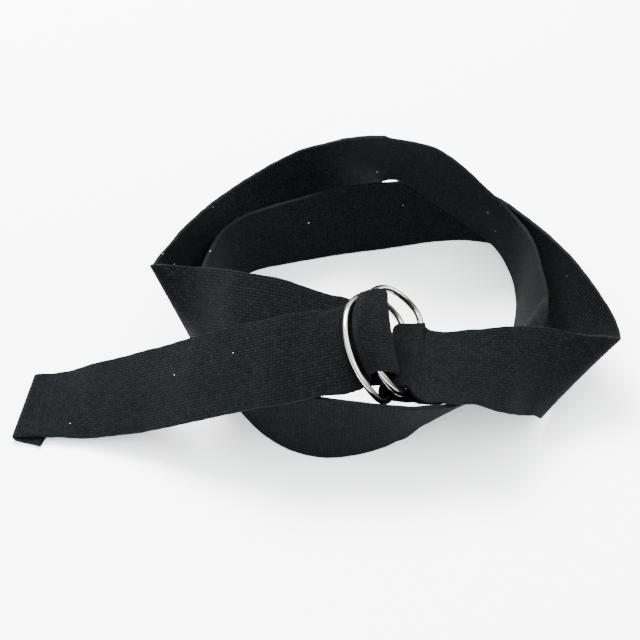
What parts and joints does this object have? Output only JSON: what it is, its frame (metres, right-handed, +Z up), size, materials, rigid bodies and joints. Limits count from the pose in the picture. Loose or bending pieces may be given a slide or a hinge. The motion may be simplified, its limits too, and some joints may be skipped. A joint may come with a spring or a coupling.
{
  "type": "double ring belt",
  "caption": "Dark cotton webbing belt fastened through paired metal rings, lying in a loose coil with its free tail out to one side.",
  "frame": {"origin": "on the floor, under the middle of the belt's bounding box", "axes": "+Z up, +X along the longest extent from the tail toward the right-hand bend, -Y the side that the rings lie on"},
  "size_m": [0.2594, 0.1585, 0.0759],
  "materials": {
    "strap": "matt ribbed cotton webbing, near black",
    "ring": "bright nickel plate on steel wire"
  },
  "bodies": {
    "root": {"strap": "strap", "front_ring": "ring", "back_ring": "ring"}
  },
  "joints": []
}
